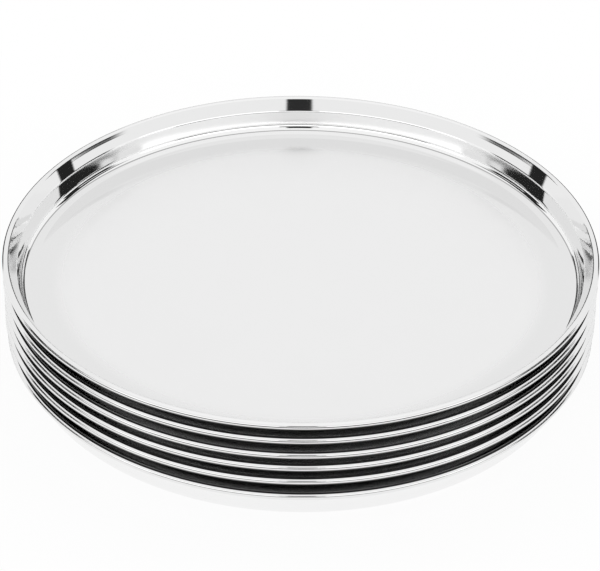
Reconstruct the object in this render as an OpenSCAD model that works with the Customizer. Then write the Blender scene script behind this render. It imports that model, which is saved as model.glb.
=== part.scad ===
// A nest of six round serving plates, each pressed from one sheet of polished steel.
// Going outwards, a plate has a flat floor, a rounded cove, a short upright wall,
// a shoulder that turns outwards, a flared lip and a bead curled over the edge.
// A plate rests with its cove on the shoulder of the plate below, so nothing else
// holds the nest. Plates of this kind differ by a few tenths of a millimetre, and a
// wider one sits higher, which is why the rims are unevenly spaced.
// The origin is the centre of the bottom plate's underside, with +Z up, in millimetres.

/* [Plate] */
// Diameter of a plate over its bead
plate_d = 300; // [200:1:400]
// Thickness of the steel sheet
sheet_t = 0.8; // [0.6:0.05:1.2]

/* [Floor and wall] */
// Radius of the cove between floor and wall, on the dish side
cove_r = 6; // [4:0.25:9]
// Length of the straight wall between cove and shoulder
wall_len = 6.1; // [4:0.1:8]
// Lean of the wall from upright, in degrees
wall_lean = 6; // [4:0.25:9]

/* [Lip] */
// Radius of the shoulder where the wall turns outwards, on the dish side
shoulder_r = 3; // [2:0.25:5]
// Lean of the flared lip from upright, in degrees
flare_lean = 32; // [26:1:38]
// Length of the flared lip between shoulder and bead
flare_len = 6.2; // [3:0.1:8]

/* [Bead] */
// Diameter of the curled bead
bead_d = 3.8; // [3:0.1:5]
// How far the sheet turns round the bead, in degrees
bead_turn = 262; // [200:2:275]

/* [Nest] */
// Gap at the seat between a plate and the one below
seat_gap = 0.25; // [0.15:0.05:0.5]
// How much wider than plate_d each plate is, in radius, from the bottom plate up
radius_trim = [-0.21, 0.22, 0.09, -0.2, -0.01, -0.02]; // [-0.4:0.01:0.4]

/* [Hidden] */
$fn = 180;

// Largest turn between two points of a bend's outline, in degrees
bend_step = 6;

bead_r = bead_d / 2;

// Directions across a sheet that leans outwards by the given angle, and along it
function across(lean) = [cos(lean), -sin(lean)];
function along(lean) = [sin(lean), cos(lean)];

// Centres of the three bends, as [outwards, up] from below the edge of the flat floor
cove_c = [0, sheet_t + cove_r];
shoulder_c = cove_c + (cove_r + shoulder_r) * across(wall_lean) + wall_len * along(wall_lean);
bead_c = shoulder_c + (bead_r - shoulder_r) * across(flare_lean) + flare_len * along(flare_lean);

// Width of the rim, from the edge of the flat floor to the bead's outside
rim_w = bead_c[0] + bead_r;

// Distance between a seated plate's cove centre and the shoulder centre below it
seat_reach = cove_r + sheet_t + seat_gap + shoulder_r;

// Radius of the flat floor of plate number i
function floor_r(i) = plate_d / 2 + radius_trim[i] - rim_w;

// Height of a seated plate's cove centre above the shoulder centre below it, where the
// cove leans on a straight sheet of the given lean
function rest_on(lean, out) = (seat_reach - out * cos(lean)) / sin(lean);

// How far a plate's floor stands above the floor of the plate below, which is narrower
// by step: its cove meets the shoulder, or the wall or flare if it sits lower or higher
function nest_rise(step) =
    let (out = shoulder_c[0] - step)
    let (above = out > seat_reach * cos(wall_lean) ? rest_on(wall_lean, out)
        : out < seat_reach * cos(flare_lean) ? rest_on(flare_lean, out)
        : sqrt(seat_reach * seat_reach - out * out))
    shoulder_c[1] - cove_c[1] + above;

// Height of the underside of plate number i
function seat_z(i) = i == 0 ? 0 : seat_z(i - 1) + nest_rise(radius_trim[i] - radius_trim[i - 1]);

// Points of a bend about a centre, between two angles
function bend(centre, radius, start, finish) =
    let (steps = ceil(abs(finish - start) / bend_step))
    [for (k = [0 : steps])
        let (a = start + (finish - start) * k / steps)
        centre + radius * [cos(a), sin(a)]];

// One side of the rim's sheet, at a depth below its dish side, from the edge of the flat
// floor to the curled edge. The wall and flare are the straight lines between the bends.
function side(depth) = concat(
    bend(cove_c, cove_r + depth, -90, -wall_lean),
    bend(shoulder_c, shoulder_r - depth, 180 - wall_lean, 180 - flare_lean),
    bend(bead_c, bead_r - depth, 180 - flare_lean, 180 - flare_lean - bead_turn)
);

function reversed(points) = [for (k = [len(points) - 1 : -1 : 0]) points[k]];

// Half of the section of plate number i: the flat floor and the rim
module plate_section(i) {
    square([floor_r(i), sheet_t]);
    translate([floor_r(i), 0]) polygon(concat(side(sheet_t), reversed(side(0))));
}

// Plate number i, counted from the bottom, on its seat in the nest
module seated_plate(i) {
    color([0.80, 0.81, 0.82])
    translate([0, 0, seat_z(i)])
    rotate_extrude() plate_section(i);
}

module bottom_plate() { seated_plate(0); }
module second_plate() { seated_plate(1); }
module third_plate() { seated_plate(2); }
module fourth_plate() { seated_plate(3); }
module fifth_plate() { seated_plate(4); }
module top_plate() { seated_plate(5); }

bottom_plate();
second_plate();
third_plate();
fourth_plate();
fifth_plate();
top_plate();
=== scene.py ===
"""Looks for a nest of polished-steel thali plates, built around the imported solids."""

import logging
import math
from dataclasses import dataclass, replace
from enum import Enum, IntEnum
from typing import Iterable

import bpy
from mathutils import Matrix, Vector


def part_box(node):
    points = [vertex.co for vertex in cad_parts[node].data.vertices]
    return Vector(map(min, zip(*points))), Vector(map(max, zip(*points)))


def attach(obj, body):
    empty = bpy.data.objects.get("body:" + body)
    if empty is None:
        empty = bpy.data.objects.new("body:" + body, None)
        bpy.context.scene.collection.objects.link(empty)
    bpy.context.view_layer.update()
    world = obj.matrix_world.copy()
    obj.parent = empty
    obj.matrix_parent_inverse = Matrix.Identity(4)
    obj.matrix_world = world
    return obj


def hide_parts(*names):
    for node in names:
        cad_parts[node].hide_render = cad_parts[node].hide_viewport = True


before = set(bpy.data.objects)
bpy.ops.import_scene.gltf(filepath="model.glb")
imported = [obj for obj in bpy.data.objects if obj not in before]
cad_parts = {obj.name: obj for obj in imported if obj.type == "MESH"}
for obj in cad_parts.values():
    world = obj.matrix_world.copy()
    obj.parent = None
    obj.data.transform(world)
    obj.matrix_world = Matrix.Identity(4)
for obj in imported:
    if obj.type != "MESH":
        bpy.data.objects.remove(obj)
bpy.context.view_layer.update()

LOG = logging.getLogger("thali_nest")
MM = 0.001
HALF_TURN = 180.0
IMAGE_WIDTH_PX = 600
PLATE_NODES = (
    "bottom_plate", "second_plate", "third_plate", "fourth_plate", "fifth_plate", "top_plate",
)

# Mesh attribute that holds each point's height above its plate's underside
RISE = "rise"

# Places of a Mix node's sockets, for numbers and for colours
MIX_NUMBERS_IN = slice(2, 4)
MIX_NUMBER_OUT = 0
MIX_COLOURS_IN = slice(6, 8)
MIX_COLOUR_OUT = 2

Point = tuple[float, float]
Colour = tuple[float, float, float]


class SheetSide(IntEnum):
    """The two sides of a pressed sheet, numbered as its material slots."""

    DISH = 0
    BACK = 1


class SocketKind(Enum):
    """Kinds of value that pass through a node group."""

    NUMBER = "NodeSocketFloat"
    PLACE = "NodeSocketVector"


def grey(level: float) -> Colour:
    """Give the neutral colour of a level from 0 to 1."""
    return (level, level, level)


class NodeBench:
    """A small workbench for wiring shader nodes in one tree."""

    def __init__(self, tree: bpy.types.NodeTree) -> None:
        """Keep the tree that the nodes are made in."""
        self.tree = tree

    def add(self, kind: str, **settings: object) -> bpy.types.Node:
        """Add a node and set its properties.

        Args:
            kind: Blender's identifier of the node type.
            settings: property names and values.

        Returns:
            The new node.
        """
        node = self.tree.nodes.new(kind)
        for name, value in settings.items():
            setattr(node, name, value)
        return node

    def link(self, source: object, target: bpy.types.NodeSocket) -> None:
        """Feed a socket from another socket, or set it to a plain value.

        Args:
            source: socket, or plain value that the target can hold.
            target: socket that is fed or set.
        """
        if isinstance(source, bpy.types.NodeSocket):
            self.tree.links.new(source, target)
        else:
            target.default_value = source

    def math(
        self, operation: str, first: object, second: object = 0.0, third: object = 0.0,
    ) -> bpy.types.NodeSocket:
        """Add a Math node.

        Args:
            operation: Blender's name of the operation.
            first: socket or number for the first input.
            second: socket or number for the second input.
            third: socket or number for the third input.

        Returns:
            The node's output socket.
        """
        node = self.add("ShaderNodeMath", operation=operation)
        for source, target in zip((first, second, third), node.inputs):
            self.link(source, target)
        return node.outputs[0]

    def ramp(self, value: object, start: object, end: object) -> bpy.types.NodeSocket:
        """Add a smooth rise from 0 at start to 1 at end.

        Args:
            value: socket or number that is mapped.
            start: where the rise begins.
            end: where the rise ends.

        Returns:
            The mapped value's socket.
        """
        node = self.add("ShaderNodeMapRange", interpolation_type="SMOOTHSTEP")
        self.link(value, node.inputs["Value"])
        self.link(start, node.inputs["From Min"])
        self.link(end, node.inputs["From Max"])
        return node.outputs["Result"]

    def blend(self, share: object, first: object, second: object) -> bpy.types.NodeSocket:
        """Mix two numbers: the first at share 0, the second at share 1.

        Args:
            share: socket or number from 0 to 1.
            first: socket or number at share 0.
            second: socket or number at share 1.

        Returns:
            The mixed number's socket.
        """
        node = self.add("ShaderNodeMix", data_type="FLOAT")
        self.link(share, node.inputs[0])
        for source, target in zip((first, second), node.inputs[MIX_NUMBERS_IN]):
            self.link(source, target)
        return node.outputs[MIX_NUMBER_OUT]

    def tint(self, share: object, first: object, second: object) -> bpy.types.NodeSocket:
        """Mix two colours: the first at share 0, the second at share 1.

        Args:
            share: socket or number from 0 to 1.
            first: socket or colour at share 0.
            second: socket or colour at share 1.

        Returns:
            The mixed colour's socket.
        """
        node = self.add("ShaderNodeMix", data_type="RGBA")
        self.link(share, node.inputs[0])
        for source, target in zip((first, second), node.inputs[MIX_COLOURS_IN]):
            plain = not isinstance(source, bpy.types.NodeSocket)
            self.link((*source, 1.0) if plain else source, target)
        return node.outputs[MIX_COLOUR_OUT]

    def noise(self, place: object, scale: float, detail: float) -> bpy.types.NodeSocket:
        """Add a noise pattern over a place in space, or over one number.

        Args:
            place: vector socket, or number socket for a pattern of rings.
            scale: how many features fit in a metre.
            detail: how many finer layers are added.

        Returns:
            The pattern's socket, about 0.5 on average.
        """
        rings = place.type == "VALUE"
        node = self.add("ShaderNodeTexNoise", noise_dimensions="1D" if rings else "3D")
        self.link(place, node.inputs["W" if rings else "Vector"])
        node.inputs["Scale"].default_value = scale
        node.inputs["Detail"].default_value = detail
        return node.outputs[0]


@dataclass(frozen=True)
class PolishMarks:
    """How fine the marks of spinning, polishing and handling are, in features to the metre."""

    ring_scale: float = 1600.0
    ring_detail: float = 3.0
    ring_dullness: float = 0.5
    wave_scale: float = 16.0
    wave_detail: float = 1.0
    smudge_scale: float = 26.0
    smudge_detail: float = 4.0
    smudge_start: float = 0.48
    smudge_full: float = 0.72


class GroupShelf:
    """The shader node groups that more than one material or card uses."""

    def __init__(self) -> None:
        """Build each group once."""
        self.radius = self.make_radius()
        self.polish = self.make_polish(PolishMarks())
        self.card = self.make_card()

    @staticmethod
    def blank(name: str, inputs: dict[str, object], outputs: Iterable[str]) -> bpy.types.NodeTree:
        """Make an empty group.

        Args:
            name: name of the group.
            inputs: input names with default numbers, or with SocketKind.PLACE for a place.
            outputs: names of the numbers that it puts out.

        Returns:
            The group, with its input and output nodes.
        """
        tree = bpy.data.node_groups.new(name, "ShaderNodeTree")
        for label, value in inputs.items():
            kind = SocketKind.PLACE if value is SocketKind.PLACE else SocketKind.NUMBER
            made = tree.interface.new_socket(name=label, in_out="INPUT", socket_type=kind.value)
            if kind is SocketKind.NUMBER:
                made.default_value = value
        number = SocketKind.NUMBER.value
        for label in outputs:
            tree.interface.new_socket(name=label, in_out="OUTPUT", socket_type=number)
        tree.nodes.new("NodeGroupInput")
        tree.nodes.new("NodeGroupOutput")
        return tree

    def make_radius(self) -> bpy.types.NodeTree:
        """Make the group that gives the distance from the plates' axis.

        Returns:
            The group.
        """
        tree = self.blank("axis_distance", {"Place": SocketKind.PLACE}, ("Radius",))
        bench = NodeBench(tree)
        axes = bench.add("ShaderNodeSeparateXYZ")
        bench.link(tree.nodes["Group Input"].outputs["Place"], axes.inputs[0])
        square = bench.math("MULTIPLY", axes.outputs["X"], axes.outputs["X"])
        square = bench.math("MULTIPLY_ADD", axes.outputs["Y"], axes.outputs["Y"], square)
        bench.link(bench.math("SQRT", square), tree.nodes["Group Output"].inputs["Radius"])
        return tree

    def make_polish(self, marks: PolishMarks) -> bpy.types.NodeTree:
        """Make the group of marks that spinning, polishing and handling leave on a sheet.

        Args:
            marks: how fine the marks are.

        Returns:
            The group.
        """
        inputs = {
            "Place": SocketKind.PLACE, "Radius": 0.0, "Rings": 1.0, "Waves": 1.0, "Smudges": 1.0,
        }
        tree = self.blank("polish_marks", inputs, ("Height", "Dullness"))
        bench = NodeBench(tree)
        given = tree.nodes["Group Input"].outputs
        made = tree.nodes["Group Output"].inputs
        rings = bench.noise(given["Radius"], marks.ring_scale, marks.ring_detail)
        rings = bench.math("MULTIPLY", rings, given["Rings"])
        waves = bench.noise(given["Place"], marks.wave_scale, marks.wave_detail)
        waves = bench.math("MULTIPLY", waves, given["Waves"])
        smudge = bench.noise(given["Place"], marks.smudge_scale, marks.smudge_detail)
        smudge = bench.ramp(smudge, marks.smudge_start, marks.smudge_full)
        smudge = bench.math("MULTIPLY", smudge, given["Smudges"])
        dull = bench.math("MULTIPLY_ADD", rings, marks.ring_dullness, smudge)
        bench.link(bench.math("ADD", rings, waves), made["Height"])
        bench.link(dull, made["Dullness"])
        return tree

    def make_card(self) -> bpy.types.NodeTree:
        """Make the group that lays one card of the studio over what is behind it.

        Returns:
            The group.
        """
        inputs = {
            "Behind": 1.0, "Level": 0.0, "Azimuth": 0.0, "Half width": 10.0, "Low": 0.0,
            "High": 90.0, "Blur": 2.0, "Fade": 2.0, "Low slope": 0.0, "High slope": 0.0,
            "Both sides": 0.0,
        }
        tree = self.blank("studio_card", inputs, ("Light",))
        bench = NodeBench(tree)
        given = tree.nodes["Group Input"].outputs
        axes = bench.add("ShaderNodeSeparateXYZ")
        bench.link(bench.add("ShaderNodeTexCoord").outputs["Generated"], axes.inputs[0])
        right = axes.outputs["X"]
        side = bench.blend(given["Both sides"], right, bench.math("ABSOLUTE", right))
        heading = bench.math("DEGREES", bench.math("ARCTAN2", side, axes.outputs["Y"]))
        height = bench.math("DEGREES", bench.math("ARCSINE", axes.outputs["Z"]))
        turn = bench.math("SUBTRACT", heading, given["Azimuth"])
        turn = bench.math("WRAP", turn, HALF_TURN, -HALF_TURN)
        near = bench.ramp(bench.math("ADD", given["Half width"], turn), 0.0, given["Blur"])
        far = bench.ramp(bench.math("SUBTRACT", given["Half width"], turn), 0.0, given["Fade"])
        low = bench.math("MULTIPLY_ADD", turn, given["Low slope"], given["Low"])
        high = bench.math("MULTIPLY_ADD", turn, given["High slope"], given["High"])
        above = bench.ramp(bench.math("SUBTRACT", height, low), 0.0, given["Blur"])
        below = bench.ramp(bench.math("SUBTRACT", high, height), 0.0, given["Blur"])
        across = bench.math("MULTIPLY", near, far)
        upwards = bench.math("MULTIPLY", above, below)
        mask = bench.math("MULTIPLY", across, upwards)
        light = bench.blend(mask, given["Behind"], given["Level"])
        bench.link(light, tree.nodes["Group Output"].inputs["Light"])
        return tree


# Colours of the sheet's finishes, and of the shade and light painted on the sheet
SATIN = grey(0.89)
BRIGHT = grey(0.84)
MIRROR = grey(0.92)
FLOOR_RING = grey(0.80)
# Painted shade: a thin dark line in the cove's corner, where shade falls
PAINTED_SHADE_LINE = grey(0.38)
# Painted shade: near black, under the nested plates' beads and on the back of their lips, in the gaps
# between the plates
PAINTED_SHADE_BLACK = grey(0.035)
# Painted shade: the nested plates' back, darker than the lowest plate's underside, darkest towards
# the lip
SHADED_PLAIN_BACK = grey(0.62)
PAINTED_SHADE_BACK = grey(0.55)
PLAIN_UNDERSIDE = grey(0.78)
# Painted light: the lowest plate's wall and cove drawn brighter than the steel, so that they pass
# into the white floor
PAINTED_LIGHT_UNDERSIDE = grey(0.91)

# Where one finish passes into the next, as distances from the axis
SATIN_EDGE = 121.0 * MM
COVE_EDGE = 137.0 * MM
# Edges of the painted shade line in the cove's corner
PAINTED_SHADE_LINE_INSIDE = 139.95 * MM
PAINTED_SHADE_LINE_OUTSIDE = 140.35 * MM
SHOULDER_EDGE = 143.2 * MM
# Where the near-black painted shade on the back of the lip begins
LIP_BACK_EDGE = 143.6 * MM


@dataclass(frozen=True)
class PolishZone:
    """A ring of the sheet with its own polish, from a distance from the axis outwards; some rings
    carry painted shade and light.
    """

    start: float
    blur: float
    colour: Colour
    roughness: float


@dataclass(frozen=True)
class CurlPaintedShade:
    """Painted shade, near black, under the curled bead of a plate that rests in another."""

    start: float = 146.4 * MM
    top: float = 17.5 * MM
    blur: float = 0.35 * MM
    colour: Colour = PAINTED_SHADE_BLACK
    roughness: float = 0.10


@dataclass(frozen=True)
class SteelFinish:
    """Stainless sheet whose polish changes from ring to ring, with marks of spinning and use, and
    with painted shade and light on some rings.
    """

    name: str
    zones: tuple[PolishZone, ...]
    rings: float
    waves: float
    smudges: float
    smudge_roughness: float = 0.05
    relief: float = 0.02 * MM
    edge_tint: Colour = (1.0, 1.0, 1.0)
    # Painted shade under the curl, for the plates that rest in another
    curl_shade: CurlPaintedShade | None = None

    def material(self, shelf: GroupShelf) -> bpy.types.Material:
        """Make the material.

        Args:
            shelf: the shared node groups.

        Returns:
            The material, with its nodes.
        """
        steel = bpy.data.materials.new(self.name)
        steel.use_nodes = True
        bench = NodeBench(steel.node_tree)
        shader = steel.node_tree.nodes["Principled BSDF"]
        shader.inputs["Metallic"].default_value = 1.0
        shader.inputs["Specular Tint"].default_value = (*self.edge_tint, 1.0)
        place = bench.add("ShaderNodeTexCoord").outputs["Object"]
        distance = bench.add("ShaderNodeGroup", node_tree=shelf.radius)
        bench.link(place, distance.inputs["Place"])
        radius = distance.outputs["Radius"]
        marks = bench.add("ShaderNodeGroup", node_tree=shelf.polish)
        given = (place, radius, self.rings, self.waves, self.smudges)
        for source, target in zip(given, marks.inputs):
            bench.link(source, target)
        colour, rough = self.polish(bench, radius)
        dull = marks.outputs["Dullness"]
        rough = bench.math("MULTIPLY_ADD", dull, self.smudge_roughness, rough)
        bump = bench.add("ShaderNodeBump")
        bump.inputs["Distance"].default_value = self.relief
        bench.link(marks.outputs["Height"], bump.inputs["Height"])
        bench.link(colour, shader.inputs["Base Color"])
        bench.link(rough, shader.inputs["Roughness"])
        bench.link(bump.outputs[0], shader.inputs["Normal"])
        return steel

    def polish(self, bench: NodeBench, radius: bpy.types.NodeSocket) -> tuple[object, object]:
        """Blend the zones from the axis outwards, and the painted shade under the curl over them.

        Args:
            bench: workbench of the material.
            radius: socket of the distance from the axis.

        Returns:
            The sockets of the colour and the roughness.
        """
        colour: object = self.zones[0].colour
        rough: object = self.zones[0].roughness
        for zone in self.zones[1:]:
            share = bench.ramp(radius, zone.start - zone.blur, zone.start + zone.blur)
            colour = bench.tint(share, colour, zone.colour)
            rough = bench.blend(share, rough, zone.roughness)
        # Painted shade on the bead's lower half, below a height above the plate's underside
        if self.curl_shade is not None:
            edge, top, blur = self.curl_shade.start, self.curl_shade.top, self.curl_shade.blur
            rise = bench.add("ShaderNodeAttribute", attribute_name=RISE).outputs["Fac"]
            under = bench.ramp(rise, top + blur, top - blur)
            share = bench.math("MULTIPLY", under, bench.ramp(radius, edge - blur, edge + blur))
            colour = bench.tint(share, colour, self.curl_shade.colour)
            rough = bench.blend(share, rough, self.curl_shade.roughness)
        return colour, rough


DISH_FINISH = SteelFinish(
    name="steel_dish_side",
    zones=(
        PolishZone(0.0, blur=0.0, colour=SATIN, roughness=0.55),
        PolishZone(SATIN_EDGE, blur=7.0 * MM, colour=FLOOR_RING, roughness=0.05),
        # Painted shade: a thin dark ring in the cove's corner
        PolishZone(PAINTED_SHADE_LINE_INSIDE, blur=0.15 * MM, colour=PAINTED_SHADE_LINE, roughness=0.15),
        PolishZone(PAINTED_SHADE_LINE_OUTSIDE, blur=0.15 * MM, colour=MIRROR, roughness=0.025),
        PolishZone(SHOULDER_EDGE, blur=0.2 * MM, colour=BRIGHT, roughness=0.025),
    ),
    rings=0.25, waves=0.6, smudges=0.5,
)
# The nested plates' dish side: the same finish with painted shade under the bead
SHADED_DISH_FINISH = replace(DISH_FINISH, name="steel_dish_side_painted_shade", curl_shade=CurlPaintedShade())
# The nested plates' back: painted shade, darker than the lowest plate's underside, near black on the
# back of the lip, with reflections dimmed by a dark edge tint
SHADED_BACK_FINISH = SteelFinish(
    name="steel_back_painted_shade",
    zones=(
        PolishZone(0.0, blur=0.0, colour=SHADED_PLAIN_BACK, roughness=0.26),
        PolishZone(COVE_EDGE, blur=1.5 * MM, colour=PAINTED_SHADE_BACK, roughness=0.16),
        PolishZone(LIP_BACK_EDGE, blur=0.9 * MM, colour=PAINTED_SHADE_BLACK, roughness=0.10),
    ),
    rings=0.35, waves=0.6, smudges=0.8, edge_tint=grey(0.2),
)
# The lowest plate's underside: painted light on the wall and cove, lighter than the nested plates'
# back
LIT_UNDERSIDE_FINISH = SteelFinish(
    name="steel_underside_painted_light",
    zones=(
        PolishZone(0.0, blur=0.0, colour=PLAIN_UNDERSIDE, roughness=0.22),
        PolishZone(COVE_EDGE, blur=1.5 * MM, colour=PAINTED_LIGHT_UNDERSIDE, roughness=0.06),
    ),
    rings=0.35, waves=0.6, smudges=0.8,
)


@dataclass(frozen=True)
class RimSection:
    """The section of a pressed plate: floor, cove, wall, shoulder, flared lip and curled bead.

    Leans are in degrees from upright. The steps are the largest turns between two points of the
    bends and of the bead, and the shares are the points of the flat floor, from the axis to its edge.
    """

    outer_radius: float = 150.0 * MM
    sheet: float = 0.8 * MM
    cove_radius: float = 6.0 * MM
    wall_length: float = 6.1 * MM
    wall_lean: float = 6.0
    shoulder_radius: float = 3.0 * MM
    flare_lean: float = 32.0
    flare_length: float = 6.2 * MM
    bead_radius: float = 1.9 * MM
    bead_turn: float = 262.0
    bend_step: float = 3.0
    bead_step: float = 6.0
    floor_shares: tuple[float, ...] = (0.0, 0.2, 0.4, 0.6, 0.8, 0.95, 0.995)

    @staticmethod
    def bend(centre: Point, radius: float, start: float, finish: float, step: float) -> list[Point]:
        """Give the points of a round stretch of the section.

        Args:
            centre: centre of the bend, outwards and up.
            radius: radius of the dish side.
            start: first angle, in degrees.
            finish: last angle, in degrees.
            step: largest turn between two points, in degrees.

        Returns:
            The points, from start to finish.
        """
        count = math.ceil(abs(finish - start) / step)
        turns = [math.radians(start + (finish - start) * k / count) for k in range(count + 1)]
        return [
            (centre[0] + radius * math.cos(turn), centre[1] + radius * math.sin(turn))
            for turn in turns
        ]

    def points(self) -> list[Point]:
        """Give the dish side of the section, from the axis to the curled edge.

        Returns:
            Points as distance from the axis and height above the underside.
        """
        wall, flare = math.radians(self.wall_lean), math.radians(self.flare_lean)
        reach = self.cove_radius + self.shoulder_radius
        cove = (0.0, self.sheet + self.cove_radius)
        shoulder = (
            reach * math.cos(wall) + self.wall_length * math.sin(wall),
            cove[1] - reach * math.sin(wall) + self.wall_length * math.cos(wall),
        )
        lip = self.bead_radius - self.shoulder_radius
        bead = (
            shoulder[0] + lip * math.cos(flare) + self.flare_length * math.sin(flare),
            shoulder[1] - lip * math.sin(flare) + self.flare_length * math.cos(flare),
        )
        floor_radius = self.outer_radius - self.bead_radius - bead[0]
        wall_side, lip_side = 180 - self.wall_lean, 180 - self.flare_lean
        rim = self.bend(cove, self.cove_radius, -90, -self.wall_lean, self.bend_step)
        rim += self.bend(shoulder, self.shoulder_radius, wall_side, lip_side, self.bend_step)
        rim += self.bend(bead, self.bead_radius, lip_side, lip_side - self.bead_turn, self.bead_step)
        floor = [(share * floor_radius, self.sheet) for share in self.floor_shares]
        return floor + [(floor_radius + out, up) for out, up in rim]


@dataclass
class PlateBlank:
    """The one plate that is modelled; the nest's plates are copies of it."""

    section: RimSection
    spin_steps: int = 360
    merge_distance: float = 1e-6
    smooth_angle: float = 40.0
    piece: bpy.types.Object | None = None

    def build(self) -> None:
        """Model the plate, and note each point's height for the painted shade under the curl."""
        self.draw_section()
        self.spin_section()
        self.thicken()
        rise = self.piece.data.attributes.new(RISE, "FLOAT", "POINT")
        rise.data.foreach_set("value", [point.co.z for point in self.piece.data.vertices])

    def draw_section(self) -> None:
        """Draw the dish side of the section as a chain of edges, from one merged point."""
        points = [Vector((out, 0.0, up)) for out, up in self.section.points()]
        bpy.ops.object.select_all(action="DESELECT")
        bpy.ops.mesh.primitive_plane_add(size=self.section.sheet, location=(0, 0, 0))
        self.piece = bpy.context.object
        bpy.ops.object.mode_set(mode="EDIT")
        bpy.ops.mesh.select_all(action="SELECT")
        bpy.ops.mesh.merge(type="CENTER")
        bpy.ops.transform.translate(value=points[0])
        for here, there in zip(points, points[1:]):
            bpy.ops.mesh.extrude_region_move(TRANSFORM_OT_translate={"value": there - here})

    def spin_section(self) -> None:
        """Spin the chain about the axis, close the seam and turn the floor's faces up."""
        bpy.ops.mesh.select_all(action="SELECT")
        bpy.ops.mesh.spin(
            steps=self.spin_steps, angle=2 * math.pi, center=(0, 0, 0), axis=(0, 0, 1),
        )
        bpy.ops.mesh.select_all(action="SELECT")
        bpy.ops.mesh.remove_doubles(threshold=self.merge_distance)
        bpy.ops.mesh.normals_make_consistent(inside=False)
        bpy.ops.object.mode_set(mode="OBJECT")
        if self.floor_faces_down():
            bpy.ops.object.mode_set(mode="EDIT")
            bpy.ops.mesh.flip_normals()
            bpy.ops.object.mode_set(mode="OBJECT")

    def floor_faces_down(self) -> bool:
        """Tell whether the faces at the middle of the floor look down."""
        middle = min(self.piece.data.polygons, key=lambda face: face.center.xy.length)
        return middle.normal.z < 0

    def thicken(self) -> None:
        """Give the sheet its thickness, behind the dish side, and a material slot for each side."""
        for _ in SheetSide:
            self.piece.data.materials.append(None)
        sheet = self.piece.modifiers.new("sheet", "SOLIDIFY")
        sheet.thickness = self.section.sheet
        sheet.offset = -1.0
        sheet.use_even_offset = True
        sheet.material_offset = SheetSide.BACK
        bpy.ops.object.modifier_apply(modifier=sheet.name)
        bpy.ops.object.shade_smooth_by_angle(angle=math.radians(self.smooth_angle))

    def copy(self) -> bpy.types.Object:
        """Copy the plate with a mesh of its own.

        Returns:
            The copy, selected and active.
        """
        bpy.ops.object.select_all(action="DESELECT")
        self.piece.select_set(True)
        bpy.context.view_layer.objects.active = self.piece
        bpy.ops.object.duplicate(linked=False)
        return bpy.context.object

    def discard(self) -> None:
        """Take the model plate away after the last copy."""
        bpy.data.objects.remove(self.piece, do_unlink=True)


@dataclass
class ThaliPlate:
    """One plate of the nest, with the width and seat of its solid."""

    node: str
    outer_radius: float
    seat_height: float
    piece: bpy.types.Object | None = None

    @classmethod
    def from_frame(cls, node: str) -> "ThaliPlate":
        """Take a plate's width and seat from its solid.

        Args:
            node: name of the plate's node in the frame.

        Returns:
            The plate, not yet built.
        """
        low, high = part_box(node)
        return cls(node=node, outer_radius=(high.x - low.x) / 2, seat_height=low.z)

    def build(self, blank: PlateBlank) -> None:
        """Copy the model plate, bring it to this plate's width and set it on its seat.

        Args:
            blank: the finished model plate.
        """
        self.piece = blank.copy()
        self.piece.name = self.node + "_sheet"
        self.piece.data.name = self.piece.name
        widen = self.outer_radius / blank.section.outer_radius
        bpy.ops.object.mode_set(mode="EDIT")
        bpy.ops.mesh.select_all(action="SELECT")
        bpy.ops.transform.resize(value=(widen, widen, 1.0), center_override=(0, 0, 0))
        bpy.ops.transform.translate(value=(0, 0, self.seat_height))
        bpy.ops.object.mode_set(mode="OBJECT")

    def dress(self, dish: bpy.types.Material, back: bpy.types.Material) -> None:
        """Give both sides of the sheet their finish and tie the plate to its body.

        Args:
            dish: material of the dish side.
            back: material of the back.
        """
        self.piece.data.materials[SheetSide.DISH] = dish
        self.piece.data.materials[SheetSide.BACK] = back
        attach(self.piece, self.node)
        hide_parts(self.node)


@dataclass(frozen=True)
class PhotoCamera:
    """A camera at the photograph's viewing angle, fitted to the rims' outlines.

    The elevation and roll are in degrees, and the aim is given from the middle of the top rim.
    """

    distance: float = 1077.9 * MM
    elevation: float = 33.384
    focal_px: float = 2135.1
    roll: float = 0.592
    aim_right: float = -0.26 * MM
    aim_below_rim: float = 25.15 * MM
    sensor_width: float = 36.0

    def build(self, rim_height: float) -> None:
        """Place the camera and make it the scene's own.

        Args:
            rim_height: height of the middle of the top plate's bead.
        """
        data = bpy.data.cameras.new("photo_camera")
        data.sensor_fit = "HORIZONTAL"
        data.sensor_width = self.sensor_width
        data.lens = self.focal_px / IMAGE_WIDTH_PX * self.sensor_width
        camera = bpy.data.objects.new("photo_camera", data)
        bpy.context.scene.collection.objects.link(camera)
        lift = math.radians(self.elevation)
        outwards = Vector((0, -math.cos(lift), math.sin(lift)))
        place = outwards * self.distance + Vector((0, 0, rim_height))
        aim = Vector((self.aim_right, 0, rim_height - self.aim_below_rim))
        turn = (aim - place).to_track_quat("-Z", "Y").to_matrix().to_4x4()
        roll = Matrix.Rotation(math.radians(self.roll), 4, "Z")
        camera.matrix_world = Matrix.Translation(place) @ turn @ roll
        bpy.context.scene.camera = camera


# Headings, widths and heights that several cards share, in degrees
BACK = 0
FRONT = 180
FLAG_HEADING = 178.7
ALL_ROUND = 400
BELOW_FLOOR = -40
TONGUE_SLOPE = 0.34


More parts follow.
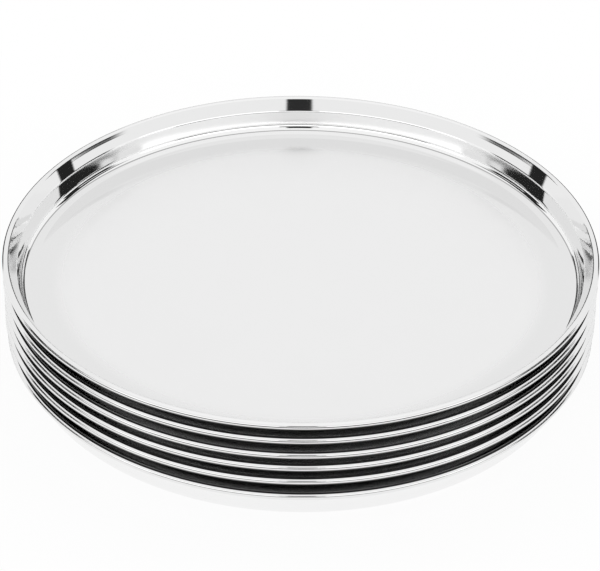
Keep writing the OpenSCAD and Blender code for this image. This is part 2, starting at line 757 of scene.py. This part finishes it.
@dataclass(frozen=True)
class StudioCard:
    """A light or dark card round the set, given by the directions that it covers.

    Headings run from 0 at the back through 90 at the right to 180 at the front, and heights
    from 0 at the horizon, in degrees. The blur is the softness of the edges, and the fade that
    of the edge at the greater heading, where it differs. A slope raises the low or high edge
    with the heading. A card on both sides has a mirror image at the left.
    """

    name: str
    azimuth: float
    half_width: float
    low: float
    high: float
    level: float
    blur: float
    fade: float | None = None
    low_slope: float = 0.0
    high_slope: float = 0.0
    both_sides: bool = False

    def inputs(self, behind: object) -> tuple[object, ...]:
        """Give the values for the card group's inputs, in their order.

        Args:
            behind: socket or number for the light behind the card.

        Returns:
            The values.
        """
        fade = self.blur if self.fade is None else self.fade
        return (
            behind, self.level, self.azimuth, self.half_width, self.low, self.high,
            self.blur, fade, self.low_slope, self.high_slope, float(self.both_sides),
        )


@dataclass(frozen=True)
class Studio:
    """The pale floor and the soft surroundings that the steel reflects."""

    floor_radius: float = 380 * MM
    floor_sides: int = 96
    floor_white: float = 0.98
    glow_near: float = 0.92
    glow_start: float = 170 * MM
    glow_full: float = 0.95
    shade_end: float = 230 * MM
    shade_front: float = 70 * MM
    room_level: float = 0.98
    cards: tuple[StudioCard, ...] = (
        StudioCard("overhead_box", FRONT, ALL_ROUND, low=52, high=100, level=1.06, blur=6),
        StudioCard("front_reflector", FRONT, half_width=70, low=8, high=24, level=1.45, blur=4),
        StudioCard("horizon", BACK, ALL_ROUND, BELOW_FLOOR, high=1, level=0.05, blur=1),
        StudioCard("back_horizon", BACK, 64, BELOW_FLOOR, high=6, level=0.08, blur=3),
        StudioCard("front_horizon", FRONT, 53, BELOW_FLOOR, high=9, level=0.06, blur=3),
        StudioCard("back_low", 26, 16, BELOW_FLOOR, high=14, level=0.03, blur=1.5, both_sides=True),
        StudioCard("back_fill", 56, 13, BELOW_FLOOR, high=9, level=0.95, blur=2, both_sides=True),
        StudioCard(
            "side_opening", azimuth=75, half_width=4.5, low=2, high=29, level=0.02,
            blur=1.2, both_sides=True,
        ),
        StudioCard(
            "side_low", azimuth=88, half_width=13, low=2, high=17.0, level=0.02,
            blur=0.6, fade=6, high_slope=TONGUE_SLOPE, both_sides=True,
        ),
        StudioCard(
            "side_gap", azimuth=85, half_width=21, low=19.0, high=29, level=0.02,
            blur=0.6, fade=9, low_slope=TONGUE_SLOPE, both_sides=True,
        ),
        StudioCard("high_flag", FLAG_HEADING, 6.2, low=27, high=42, level=0.03, blur=1.5),
        StudioCard("middle_flag", FLAG_HEADING, 8.8, low=20, high=29, level=0.03, blur=1.0),
        StudioCard("low_flag", FLAG_HEADING, 8.8, BELOW_FLOOR, high=9, level=0.02, blur=1.5),
    )

    def build_world(self, shelf: GroupShelf) -> None:
        """Light the set from all round by its cards; to the camera the room is plain white.

        Args:
            shelf: the shared node groups.
        """
        world = bpy.data.worlds.new("studio")
        bpy.context.scene.world = world
        world.use_nodes = True
        bench = NodeBench(world.node_tree)
        light: object = self.room_level
        for card in self.cards:
            node = bench.add("ShaderNodeGroup", node_tree=shelf.card, label=card.name)
            for source, target in zip(card.inputs(light), node.inputs):
                bench.link(source, target)
            light = node.outputs["Light"]
        rays = bench.add("ShaderNodeLightPath")
        shown = bench.blend(rays.outputs["Is Camera Ray"], light, 1.0)
        bench.link(shown, world.node_tree.nodes["Background"].inputs["Color"])

    def build_floor(self, shelf: GroupShelf) -> None:
        """Lay the pale round floor, which shows white and keeps a soft shadow near the plates.

        Args:
            shelf: the shared node groups.
        """
        bpy.ops.object.select_all(action="DESELECT")
        bpy.ops.mesh.primitive_circle_add(
            vertices=self.floor_sides, radius=self.floor_radius, fill_type="NGON", location=(0, 0, 0),
        )
        floor = bpy.context.object
        floor.name = "studio_floor"
        paper = bpy.data.materials.new("white_paper")
        paper.use_nodes = True
        bench = NodeBench(paper.node_tree)
        shader = paper.node_tree.nodes["Principled BSDF"]
        shader.inputs["Base Color"].default_value = (*grey(self.floor_white), 1.0)
        shader.inputs["Roughness"].default_value = 1.0
        shader.inputs["Specular IOR Level"].default_value = 0.0
        glow = bench.add("ShaderNodeEmission")
        mix = bench.add("ShaderNodeMixShader")
        bench.link(self.glow_share(bench, shelf), mix.inputs[0])
        bench.link(shader.outputs[0], mix.inputs[1])
        bench.link(glow.outputs[0], mix.inputs[2])
        bench.link(mix.outputs[0], paper.node_tree.nodes["Material Output"].inputs["Surface"])
        floor.data.materials.append(paper)

    def glow_share(self, bench: NodeBench, shelf: GroupShelf) -> bpy.types.NodeSocket:
        """Work out how far the floor shows plain white, to the camera and in the steel.

        The steel sees the floor close to the plates, at the sides and the back, unlit by this.

        Args:
            bench: workbench of the floor's material.
            shelf: the shared node groups.

        Returns:
            The share's socket.
        """
        place = bench.add("ShaderNodeTexCoord").outputs["Object"]
        distance = bench.add("ShaderNodeGroup", node_tree=shelf.radius)
        bench.link(place, distance.inputs["Place"])
        radius = distance.outputs["Radius"]
        axes = bench.add("ShaderNodeSeparateXYZ")
        bench.link(place, axes.inputs[0])
        far = bench.ramp(radius, self.glow_start, self.floor_radius * self.glow_full)
        shade = bench.ramp(radius, self.shade_end, self.glow_start)
        behind = bench.ramp(axes.outputs["Y"], -self.shade_front, 0.0)
        shade = bench.math("MULTIPLY", shade, behind)
        rays = bench.add("ShaderNodeLightPath").outputs
        mirrored = bench.math("ADD", rays["Is Glossy Ray"], rays["Is Transmission Ray"])
        mirrored = bench.math("MULTIPLY", mirrored, bench.math("SUBTRACT", 1.0, shade))
        seen = bench.math("ADD", rays["Is Camera Ray"], mirrored)
        seen = bench.math("MINIMUM", seen, 1.0)
        return bench.math("MULTIPLY", seen, bench.blend(far, self.glow_near, 1.0))


def main() -> None:
    """Build the studio, the camera and the plates, and report each piece."""
    logging.basicConfig(level=logging.INFO)
    bpy.context.scene.view_settings.view_transform = "Standard"
    shelf = GroupShelf()
    studio = Studio()
    studio.build_world(shelf)
    studio.build_floor(shelf)
    dish = DISH_FINISH.material(shelf)
    nested_dish = SHADED_DISH_FINISH.material(shelf)
    back = SHADED_BACK_FINISH.material(shelf)
    underside = LIT_UNDERSIDE_FINISH.material(shelf)
    blank = PlateBlank(RimSection())
    blank.build()
    for node in PLATE_NODES:
        plate = ThaliPlate.from_frame(node)
        plate.build(blank)
        # The nested plates get painted shade under the bead and on the back, the lowest plate painted
        # light on its underside
        lowest = node == PLATE_NODES[0]
        plate.dress(dish if lowest else nested_dish, underside if lowest else back)
        faces = len(plate.piece.data.polygons)
        LOG.info("%s: %d faces, outer radius %.2f mm", node, faces, plate.outer_radius / MM)
    blank.discard()
    PhotoCamera().build(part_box("top_plate")[1].z - blank.section.bead_radius)


if __name__ == "__main__":
    main()
